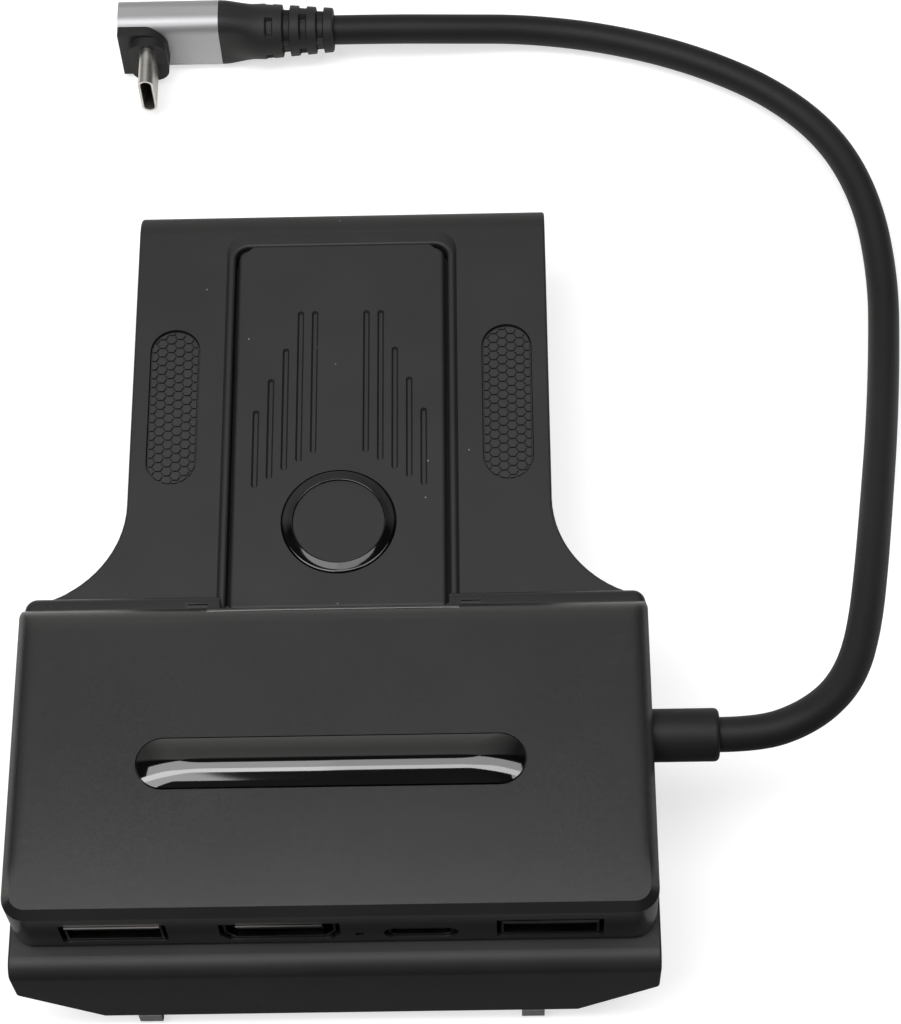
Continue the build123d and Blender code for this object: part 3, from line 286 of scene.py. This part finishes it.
def ramp(tree, source, stops):
    """A colour ramp through (position, colour) stops."""
    node = add_node(tree, "ShaderNodeValToRGB")
    while len(node.color_ramp.elements) < len(stops):
        node.color_ramp.elements.new(0.5)
    for element, (position, colour) in zip(node.color_ramp.elements, stops):
        element.position = position
        element.color = (*colour, 1.0)
    tree.links.new(source, node.inputs["Fac"])
    return node.outputs["Color"]


def place_on(tree, source):
    """The X, Y and Z of the place, or of the direction, that is shaded."""
    coordinates = add_node(tree, "ShaderNodeTexCoord")
    split = add_node(tree, "ShaderNodeSeparateXYZ")
    tree.links.new(coordinates.outputs[source], split.inputs["Vector"])
    return split.outputs


def noise(tree, scale, detail, stretch=(1.0, 1.0, 1.0)):
    """Noise over the object's own coordinates; scale is in cells per metre."""
    coordinates = add_node(tree, "ShaderNodeTexCoord")
    mapping = add_node(tree, "ShaderNodeMapping", Scale=stretch)
    texture = add_node(tree, "ShaderNodeTexNoise", Scale=scale, Detail=detail)
    tree.links.new(coordinates.outputs["Object"], mapping.inputs["Vector"])
    tree.links.new(mapping.outputs["Vector"], texture.inputs["Vector"])
    return texture.outputs["Fac"]


def tones(tree, source, pair):
    """A darker and a lighter colour, spread over a noise."""
    return ramp(tree, source, list(zip(TONE_STOPS, pair)))


def shades(colour, share):
    """Two colours, a share darker and a share lighter than the given one."""
    darker = tuple(channel * (1.0 - share) for channel in colour)
    lighter = tuple(channel * (1.0 + share) for channel in colour)
    return darker, lighter


def bump(tree, shader, source, distance, strength):
    """Surface relief from a height source."""
    node = add_node(tree, "ShaderNodeBump", Distance=distance, Strength=strength)
    tree.links.new(source, node.inputs["Height"])
    tree.links.new(node.outputs["Normal"], shader.inputs["Normal"])
    return node


def looks_through(tree):
    """1 for rays from the camera and for rays through clear pieces, otherwise 0."""
    paths = add_node(tree, "ShaderNodeLightPath")
    return calculate(tree, "MAXIMUM", paths.outputs["Is Camera Ray"], paths.outputs["Is Transmission Ray"])


def new_material(name, **values):
    """A material with one Principled shader, its constant values set on the shader's sockets."""
    material = bpy.data.materials.new(name)
    material.use_nodes = True
    shader = material.node_tree.nodes["Principled BSDF"]
    for socket, value in values.items():
        shader.inputs[socket.replace("_", " ")].default_value = value
    return material, material.node_tree, shader


def soft_edges(tree, relief, radius):
    """Rounds the edges of the hub's sides, and its upper edges more and more towards the sides."""
    soft = add_node(tree, "ShaderNodeBevel", samples=SOFT_SAMPLES, Radius=radius)
    plain = add_node(tree, "ShaderNodeNewGeometry")
    place = place_on(tree, "Object")
    beside = calculate(tree, "ABSOLUTE", place["X"])
    shares = []
    for across, along in ((SOFT_TOP_ACROSS, SOFT_TOP_ALONG), (SOFT_SIDE_ACROSS, SOFT_SIDE_ALONG)):
        near_side = rise(tree, beside, across)
        near_end = rise(tree, place["Y"], along)
        shares.append(calculate(tree, "MULTIPLY", near_side, near_end))
    share = calculate(tree, "MAXIMUM", *shares)
    normal = mixed(tree, share, plain.outputs["Normal"], soft.outputs["Normal"], data_type="VECTOR")
    tree.links.new(normal, relief.inputs["Normal"])


def dusted(tree, colour):
    """The colour with a few specks of pale dust."""
    coordinates = add_node(tree, "ShaderNodeTexCoord")
    cells = add_node(tree, "ShaderNodeTexVoronoi", Scale=DUST_SCALE)
    tree.links.new(coordinates.outputs["Object"], cells.inputs["Vector"])
    lot = add_node(tree, "ShaderNodeSeparateColor")
    tree.links.new(cells.outputs["Color"], lot.inputs["Color"])
    near = calculate(tree, "LESS_THAN", cells.outputs["Distance"], DUST_SIZE)
    chosen = calculate(tree, "GREATER_THAN", lot.outputs["Red"], DUST_RARITY)
    speck = calculate(tree, "MULTIPLY", near, chosen)
    return mixed(tree, speck, colour, DUST_COLOUR, data_type="RGBA")


def moulded(name, colour, roughness, grain, relief, gloss=0.5, dust=False, edge=0.0):
    """Moulded plastic or rubber: cloudy tone, uneven sheen, a fine grain and softened edges."""
    material, tree, shader = new_material(name, Specular_IOR_Level=gloss)
    clouds = noise(tree, CLOUD_SCALE, detail=4.0)
    tone = tones(tree, clouds, shades(colour, PLASTIC_TONE))
    if dust:
        tone = dusted(tree, tone)
    tree.links.new(tone, shader.inputs["Base Color"])
    fine = noise(tree, grain, detail=3.0)
    sheen = map_range(tree, fine, SHEEN_STOPS, (roughness - PLASTIC_SHEEN, roughness + PLASTIC_SHEEN))
    tree.links.new(sheen, shader.inputs["Roughness"])
    surface = bump(tree, shader, fine, relief, GRAIN_STRENGTH)
    if edge > 0.0:
        soft_edges(tree, surface, edge)
    return material


def brushed(name, colour, roughness, stretch, contrast=1.0):
    """Metal with fine streaks along one axis."""
    material, tree, shader = new_material(name, Metallic=1.0)
    streaks = noise(tree, STREAK_SCALE, detail=3.0, stretch=stretch)
    tone = tones(tree, streaks, shades(colour, METAL_TONE * contrast))
    tree.links.new(tone, shader.inputs["Base Color"])
    smoothest = roughness - METAL_SHEEN[0] * contrast
    roughest = roughness + METAL_SHEEN[1] * contrast
    sheen = map_range(tree, streaks, SHEEN_STOPS, (smoothest, roughest))
    tree.links.new(sheen, shader.inputs["Roughness"])
    bump(tree, shader, streaks, STREAK_RELIEF, STREAK_STRENGTH * contrast)
    return material


def port_metal(name):
    """Nickel plated sheet: bright on the plug, with a painted highlight on the ports' lips and painted shade
    inside the ports.
    """
    material, tree, shader = new_material(name, Metallic=1.0)
    streaks = noise(tree, STREAK_SCALE, detail=3.0, stretch=PORT_STRETCH)
    place = place_on(tree, "Object")
    # Painted highlight along the ports' top lips, bright at the left end and dim towards the right
    lip_highlight = ramp(tree, rise(tree, place["X"], LIP_HIGHLIGHT_SPAN), [(0.0, LIP_HIGHLIGHT_BRIGHT), (1.0, LIP_HIGHLIGHT_DIM)])
    on_lip = calculate(tree, "COMPARE", place["Y"], LIP_MIDDLE, LIP_HALF)
    # Painted shade on the sheet inside the ports, with the painted highlight on their lips
    port = mixed(tree, on_lip, tones(tree, streaks, PORT_SHADE_TONES), lip_highlight, data_type="RGBA")
    on_plug = calculate(tree, "GREATER_THAN", place["Y"], PLUG_FROM)
    tone = mixed(tree, on_plug, port, tones(tree, streaks, PLUG_TONES), data_type="RGBA")
    tree.links.new(tone, shader.inputs["Base Color"])
    tree.links.new(map_range(tree, streaks, SHEEN_STOPS, PORT_SHEEN), shader.inputs["Roughness"])
    bump(tree, shader, streaks, STREAK_RELIEF, STREAK_STRENGTH)
    return material


def polished(name, colour, roughness, gloss):
    """Polished black plastic with a faint haze of wiping marks."""
    material, tree, shader = new_material(name, Specular_IOR_Level=gloss)
    wiped = noise(tree, WIPE_SCALE, detail=3.0)
    tree.links.new(tones(tree, wiped, shades(colour, POLISH_TONE)), shader.inputs["Base Color"])
    haze = noise(tree, HAZE_SCALE, detail=5.0, stretch=HAZE_STRETCH)
    sheen = map_range(tree, haze, SHEEN_STOPS, (roughness, roughness + POLISH_SHEEN))
    tree.links.new(sheen, shader.inputs["Roughness"])
    return material


def solder_mask(name):
    """Board: green mask with the faint lines of copper under it."""
    material, tree, shader = new_material(name, Roughness=0.35)
    coordinates = add_node(tree, "ShaderNodeTexCoord")
    tracks = add_node(
        tree,
        "ShaderNodeTexBrick",
        Scale=TRACK_SCALE,
        Mortar_Size=TRACK_WIDTH,
        Color1=MASK_TONES[0],
        Color2=MASK_TONES[1],
        Mortar=MASK_COPPER,
    )
    tree.links.new(coordinates.outputs["Object"], tracks.inputs["Vector"])
    tree.links.new(tracks.outputs["Color"], shader.inputs["Base Color"])
    bump(tree, shader, tracks.outputs["Fac"], TRACK_RELIEF, TRACK_STRENGTH)
    return material


def clear(name):
    """Clear moulded plastic, slightly frosted."""
    material, tree, shader = new_material(name, Transmission_Weight=0.7, IOR=1.49)
    frost = noise(tree, FROST_SCALE, detail=3.0)
    tree.links.new(tones(tree, frost, CLEAR_TONES), shader.inputs["Base Color"])
    tree.links.new(map_range(tree, frost, SHEEN_STOPS, CLEAR_SHEEN), shader.inputs["Roughness"])
    return material


FINISHES = {
    "housing": moulded(
        "housing", (0.0155, 0.0156, 0.0155), roughness=0.50, grain=3600.0, relief=0.008 * MM,
        gloss=0.32, dust=True,
    ),
    "hub_shell": moulded(
        "hub_shell", (0.0115, 0.0116, 0.0116), roughness=0.225, grain=5200.0, relief=0.001 * MM,
        gloss=0.70, edge=2.6 * MM,
    ),
    "hub_base": moulded(
        "hub_base", (0.0115, 0.0116, 0.0116), roughness=0.30, grain=5200.0, relief=0.001 * MM,
        gloss=0.38, edge=1.0 * MM,
    ),
    "gloss_trim": polished("gloss_trim", (0.002, 0.002, 0.0021), roughness=0.04, gloss=0.75),
    "ring_trim": polished("ring_trim", (0.002, 0.002, 0.0021), roughness=0.05, gloss=0.52),
    "grip_rubber": moulded(
        "grip_rubber", (0.016, 0.016, 0.016), roughness=0.45, grain=3000.0, relief=0.010 * MM, gloss=0.42,
    ),
    "claw_grey": moulded("claw_grey", (0.30, 0.30, 0.30), roughness=0.42, grain=2500.0, relief=0.010 * MM),
    "pad_silicone": moulded(
        "pad_silicone", (0.016, 0.016, 0.0165), roughness=0.62, grain=3000.0, relief=0.014 * MM,
    ),
    "steel": brushed("steel", (0.60, 0.60, 0.61), roughness=0.30, stretch=(1.0, 0.15, 1.0)),
    "dark_steel": brushed("dark_steel", (0.06, 0.06, 0.06), roughness=0.45, stretch=(1.0, 0.15, 1.0)),
    "port_sheet": port_metal("port_sheet"),
    "aluminium": brushed(
        "aluminium", (0.44, 0.44, 0.45), roughness=0.58, stretch=(0.10, 1.0, 1.0), contrast=0.3,
    ),
    "connector_black": moulded(
        "connector_black", (0.010, 0.010, 0.010), roughness=0.52, grain=3000.0, relief=0.010 * MM, gloss=0.32,
    ),
    "board": solder_mask("board"),
    "component": moulded(
        "component", (0.014, 0.014, 0.0145), roughness=0.45, grain=4000.0, relief=0.010 * MM,
    ),
    "light_clear": clear("light_clear"),
    "jacket": moulded(
        "jacket", (0.0100, 0.0100, 0.0100), roughness=0.54, grain=2600.0, relief=0.012 * MM, gloss=0.20,
    ),
    "boot": moulded(
        "boot", (0.0160, 0.0160, 0.0160), roughness=0.54, grain=2600.0, relief=0.012 * MM, gloss=0.24,
    ),
}

# The hub's lower half is a little duller than its cover, in the same slot
OWN_FINISHES = {"hub_base": "hub_base"}

for subpart in frame["record"]["subparts"]:
    node = nodes[subpart["node"]]
    finish = OWN_FINISHES.get(subpart["node"], subpart["material_slot"])
    node.data.materials.clear()
    node.data.materials.append(FINISHES[finish])


def span(source):
    """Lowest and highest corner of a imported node."""
    corners = [source.matrix_world @ Vector(corner) for corner in source.bound_box]
    low = Vector(min(corner[axis] for corner in corners) for axis in range(3))
    high = Vector(max(corner[axis] for corner in corners) for axis in range(3))
    return low, high


def lift_shelf_corners(bracket):
    """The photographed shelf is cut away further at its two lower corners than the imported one."""
    low, high = span(bracket)
    cells = [size / (count - 1) for size, count in zip(high - low, CAGE_COUNTS)]
    cage = bpy.data.lattices.new("shelf_cage")
    cage.points_u, cage.points_v, cage.points_w = CAGE_COUNTS
    cage.interpolation_type_u = "KEY_LINEAR"
    cage.interpolation_type_v = "KEY_LINEAR"
    cage.interpolation_type_w = "KEY_LINEAR"
    for index, point in enumerate(cage.points):
        across = index % CAGE_COUNTS[0]
        along = index // CAGE_COUNTS[0] % CAGE_COUNTS[1]
        up = index // (CAGE_COUNTS[0] * CAGE_COUNTS[1])
        if across in (0, CAGE_COUNTS[0] - 1) and along < CAGE_DEEP:
            point.co_deform.z += CAGE_LIFTS[up] / cells[2]
    holder = bpy.data.objects.new("shelf_cage", cage)
    holder.location = (low + high) / 2
    holder.scale = cells
    bpy.context.scene.collection.objects.link(holder)
    bracket.modifiers.new("shelf_corners", "LATTICE").object = holder


def skin(rows, closed):
    """Faces over rows of points; an open skin gets a face at each end."""
    count = len(rows[0])
    faces = []
    for row in range(len(rows) if closed else len(rows) - 1):
        start = row * count
        above = (row + 1) % len(rows) * count
        for step in range(count):
            after = (step + 1) % count
            faces.append((start + step, start + after, above + after, above + step))
    if not closed:
        faces.append(tuple(range(count - 1, -1, -1)))
        faces.append(tuple((len(rows) - 1) * count + step for step in range(count)))
    return faces


def smooth_piece(name, rows, closed, source, body, finish):
    """A piece skinned over closed rows of points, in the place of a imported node."""
    mesh = bpy.data.meshes.new(name)
    mesh.from_pydata([point for row in rows for point in row], [], skin(rows, closed))
    mesh.shade_smooth()
    mesh.set_sharp_from_angle(angle=radians(SHARP_ANGLE))
    mesh.materials.append(FINISHES[finish])
    piece = bpy.data.objects.new(name, mesh)
    low, high = span(source)
    piece.location = ((low.x + high.x) / 2, (low.y + high.y) / 2, 0.0)
    bpy.context.scene.collection.objects.link(piece)
    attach(piece, body)
    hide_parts(source.name)
    return piece


def stadium(half_straight, run, radius, height, fullness):
    """Points round a bar with rounded ends, anticlockwise; a fuller end leaves the sides more gently."""
    points = []
    for side, start in ((1, -pi / 2), (-1, pi / 2)):
        for step in range(DOME_END_STEPS + 1):
            angle = start + pi * step / DOME_END_STEPS
            reach = run * abs(cos(angle)) ** (2 / fullness)
            points.append((side * (half_straight + reach), radius * sin(angle), height))
    return points


def circle(radius, height):
    """Points round a circle, anticlockwise."""
    points = []
    for step in range(BEZEL_STEPS):
        angle = 2 * pi * step / BEZEL_STEPS
        points.append((radius * cos(angle), radius * sin(angle), height))
    return points


def dome_rows(source):
    """Rows of the bar's dome, from its foot to its crown."""
    low, high = span(source)
    half_width = (high.y - low.y) / 2 - DOME_GAP
    half_straight = (high.x - low.x) / 2 - half_width - DOME_GAP
    crown_radius = (half_width**2 + DOME_RIM**2) / (2 * DOME_RIM)
    rows = [stadium(half_straight, half_width, half_width, low.z, ROUND_END)]
    for ring in range(DOME_RINGS):
        share = ring / DOME_RINGS
        reach = half_width * (1 - share)
        drop = crown_radius - sqrt(crown_radius**2 - reach**2)
        straight = half_straight - (DOME_END_EASE + DOME_END_RUN) * share
        run = reach + DOME_END_RUN * share
        rows.append(stadium(straight, run, reach, high.z - drop, ROUND_END + share))
    return rows


def bezel_rows(source):
    """Rows of the ring's section: up its inner wall, over the face and round the outer edge."""
    low, high = span(source)
    outer = (high.x - low.x) / 2
    inner = outer - BEZEL_WIDTH
    rows = [circle(outer, low.z), circle(inner, low.z)]
    for step in range(BEZEL_ROUND_STEPS):
        angle = pi / 2 * step / BEZEL_ROUND_STEPS
        reach = inner + BEZEL_INNER_ROUND * (1 - cos(angle))
        rows.append(circle(reach, high.z - BEZEL_INNER_ROUND * (1 - sin(angle))))
    face_width = BEZEL_WIDTH - BEZEL_INNER_ROUND - BEZEL_OUTER_ROUND
    for step in range(BEZEL_FACE_STEPS + 1):
        share = step / BEZEL_FACE_STEPS
        drop = BEZEL_FALL * share + 4 * BEZEL_HOLLOW * share * (1 - share)
        rows.append(circle(inner + BEZEL_INNER_ROUND + face_width * share, high.z - drop))
    for step in range(1, BEZEL_ROUND_STEPS + 1):
        angle = pi / 2 * step / BEZEL_ROUND_STEPS
        reach = outer - BEZEL_OUTER_ROUND * (1 - sin(angle))
        rows.append(circle(reach, high.z - BEZEL_FALL - BEZEL_OUTER_ROUND * (1 - cos(angle))))
    return rows


def eased(share):
    """Smooth step from 0 to 1."""
    share = min(max(share, 0.0), 1.0)
    return share * share * (3 - 2 * share)


def shell_radius(angle):
    """Distance from the axis to the plug shell's rounded outline."""
    across = abs(cos(angle))
    up = abs(sin(angle))
    core = Vector((BOOT_HALF_WIDTH - BOOT_CORNER, BOOT_HALF_HEIGHT - BOOT_CORNER))
    if across * BOOT_HALF_HEIGHT < up * core.x:
        return BOOT_HALF_HEIGHT / up
    if up * BOOT_HALF_WIDTH < across * core.y:
        return BOOT_HALF_WIDTH / across
    along = across * core.x + up * core.y
    return along + sqrt(along**2 - core.length_squared + BOOT_CORNER**2)


def notch_depth(run, angle):
    """Depth of the boot's notches at a place along it and round it."""
    turn = 360.0 / NOTCH_SIDES
    for number, (depth, half_angle) in enumerate(zip(NOTCH_DEPTHS, NOTCH_HALF_ANGLES)):
        beside = abs(run - NOTCH_FIRST - number * NOTCH_PITCH)
        if beside < NOTCH_HALF_WIDTH:
            off = abs((degrees(angle) - NOTCH_TURN + turn / 2) % turn - turn / 2)
            wall = eased((NOTCH_HALF_WIDTH - beside) / NOTCH_WALL)
            return depth * wall * eased((half_angle + NOTCH_EASE - off) / NOTCH_EASE)
    return 0.0


def boot_radius(run, length, angle):
    """Distance from the axis to the boot's surface."""
    if run < BOOT_TAPER_LENGTH:
        blend = eased(run / BOOT_TAPER_LENGTH)
        return (1 - blend) * shell_radius(angle) + blend * BOOT_TAPER_RADIUS
    share = (run - BOOT_TAPER_LENGTH) / (length - BOOT_TAPER_LENGTH)
    radius = BOOT_TAPER_RADIUS + (BOOT_END_RADIUS - BOOT_TAPER_RADIUS) * share
    end = max(0.0, run - length + BOOT_END_ROUND)
    radius -= BOOT_END_ROUND - sqrt(max(0.0, BOOT_END_ROUND**2 - end**2))
    return radius - notch_depth(run, angle)


def boot_rows(source):
    """Rows of the boot, from the plug's shell to the lead."""
    low, high = span(source)
    length = high.x - low.x
    middle = (low.z + high.z) / 2
    count = round(length / BOOT_ROW_STEP)
    rows = []
    for row in range(count + 1):
        run = length * row / count
        points = []
        for step in range(BOOT_POINTS):
            angle = 2 * pi * step / BOOT_POINTS
            reach = boot_radius(run, length, angle)
            points.append((run - length / 2, reach * cos(angle), middle + reach * sin(angle)))
        rows.append(points)
    return rows


def lead_tube():
    """The lead, on one smooth spline over the route's points."""
    curve = bpy.data.curves.new("captive_lead", "CURVE")
    curve.dimensions = "3D"
    curve.resolution_u = LEAD_RESOLUTION
    curve.bevel_depth = LEAD_DIAMETER / 2
    curve.bevel_resolution = LEAD_ROUND_STEPS
    curve.use_fill_caps = True
    spline = curve.splines.new("NURBS")
    spline.points.add(len(LEAD_POINTS) - 1)
    for control, place in zip(spline.points, LEAD_POINTS):
        control.co = (*(value * MM for value in place), 1.0)
    spline.order_u = LEAD_ORDER
    spline.use_endpoint_u = True
    curve.materials.append(FINISHES["jacket"])
    tube = bpy.data.objects.new("captive_lead", curve)
    bpy.context.scene.collection.objects.link(tube)
    return tube


lift_shelf_corners(nodes["bracket"])

bar_source = nodes["hub_window"]
ring_source = nodes["kickstand_ring"]
boot_source = nodes["plug_boot"]
smooth_piece("gloss_bar", dome_rows(bar_source), False, bar_source, "dock", "gloss_trim")
smooth_piece("gloss_ring", bezel_rows(ring_source), True, ring_source, "stand", "ring_trim")
lead_boot = smooth_piece("lead_boot", boot_rows(boot_source), False, boot_source, "dock", "boot")

lead = lead_tube()
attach(lead, "dock")
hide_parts("cable")


def floor_finish():
    """White to the eye; to reflections and bounced light, pale behind the dock and dim with painted shade in
    front of it.
    """
    material, tree, shader = new_material(
        "floor", Roughness=0.9, Specular_IOR_Level=0.1, Emission_Color=(1.0, 1.0, 1.0, 1.0),
    )
    seen = looks_through(tree)
    coordinates = add_node(tree, "ShaderNodeTexCoord")
    away = add_node(tree, "ShaderNodeVectorMath", operation="LENGTH")
    tree.links.new(coordinates.outputs["Object"], away.inputs[0])
    glow = map_range(tree, away.outputs["Value"], FLOOR_GLOW_SPAN, FLOOR_GLOW)
    tree.links.new(calculate(tree, "MULTIPLY", seen, glow), shader.inputs["Emission Strength"])
    # Painted shade on the floor in front of the dock, seen only by reflections and bounced light
    depth = map_range(tree, place_on(tree, "Object")["Y"], FLOOR_BOUNCE_SPAN)
    bounce = ramp(tree, depth, list(zip((0.0, 1.0), FLOOR_BOUNCE)))
    tone = mixed(tree, seen, bounce, FLOOR_TONE, data_type="RGBA")
    tree.links.new(tone, shader.inputs["Base Color"])
    return material


def build_floor():
    """The table that the dock lies on."""
    mesh = bpy.data.meshes.new("floor")
    corners = [
        (-FLOOR_REACH, -FLOOR_REACH, 0.0),
        (FLOOR_REACH, -FLOOR_REACH, 0.0),
        (FLOOR_REACH, FLOOR_REACH, 0.0),
        (-FLOOR_REACH, FLOOR_REACH, 0.0),
    ]
    mesh.from_pydata(corners, [], [(0, 1, 2, 3)])
    mesh.materials.append(floor_finish())
    table = bpy.data.objects.new("floor", mesh)
    table.location.z = -FLOOR_DROP
    bpy.context.scene.collection.objects.link(table)
    return table


def room_shades(tree, direction, stops):
    """Shades of the room by direction, from -1 to 1 on an axis."""
    place = map_range(tree, direction, (-1.0, 1.0))
    return ramp(tree, place, [((value + 1) / 2, colour) for value, colour in stops])


def build_world():
    """White to the eye; to reflections, a pale backdrop in a dark room."""
    world = bpy.data.worlds.new("studio")
    bpy.context.scene.world = world
    world.use_nodes = True
    tree = world.node_tree
    tree.nodes.clear()
    direction = place_on(tree, "Generated")
    along = room_shades(tree, direction["Y"], ROOM_ALONG)
    across = room_shades(tree, direction["X"], ROOM_ACROSS)
    room = mixed(tree, 1.0, along, across, data_type="RGBA", blend_type="MULTIPLY")
    room_light = add_node(tree, "ShaderNodeBackground", Strength=ROOM_STRENGTH)
    tree.links.new(room, room_light.inputs["Color"])
    white_light = add_node(tree, "ShaderNodeBackground", Strength=1.0, Color=(1.0, 1.0, 1.0, 1.0))
    choice = add_node(tree, "ShaderNodeMixShader")
    tree.links.new(looks_through(tree), choice.inputs["Fac"])
    tree.links.new(room_light.outputs["Background"], choice.inputs[1])
    tree.links.new(white_light.outputs["Background"], choice.inputs[2])
    out = add_node(tree, "ShaderNodeOutputWorld")
    tree.links.new(choice.outputs["Shader"], out.inputs["Surface"])


def build_panel(name, left, right, front, back, radiance):
    """A lamp panel that faces straight down."""
    lamp = bpy.data.lights.new(name, "AREA")
    lamp.shape = "RECTANGLE"
    lamp.size = right - left
    lamp.size_y = back - front
    lamp.energy = radiance * pi * lamp.size * lamp.size_y
    holder = bpy.data.objects.new(name, lamp)
    holder.location = ((left + right) / 2, (front + back) / 2, PANEL_HEIGHT)
    bpy.context.scene.collection.objects.link(holder)


def build_camera():
    """The photograph's camera."""
    data = bpy.data.cameras.new("camera")
    data.sensor_width = SENSOR
    data.lens = SENSOR * CAMERA_FOCAL_PIXELS / IMAGE_LONG_SIDE
    data.clip_start = CAMERA_CLIP
    camera = bpy.data.objects.new("camera", data)
    bpy.context.scene.collection.objects.link(camera)
    turn = Matrix((CAMERA_RIGHT, CAMERA_UP, CAMERA_BACK)).transposed()
    camera.matrix_world = Matrix.Translation(CAMERA_PLACE) @ turn.to_4x4()
    bpy.context.scene.camera = camera


floor = build_floor()
build_world()
for panel_name, panel_values in PANELS.items():
    build_panel(panel_name, *panel_values)
build_camera()

bpy.context.scene.view_settings.view_transform = "Standard"
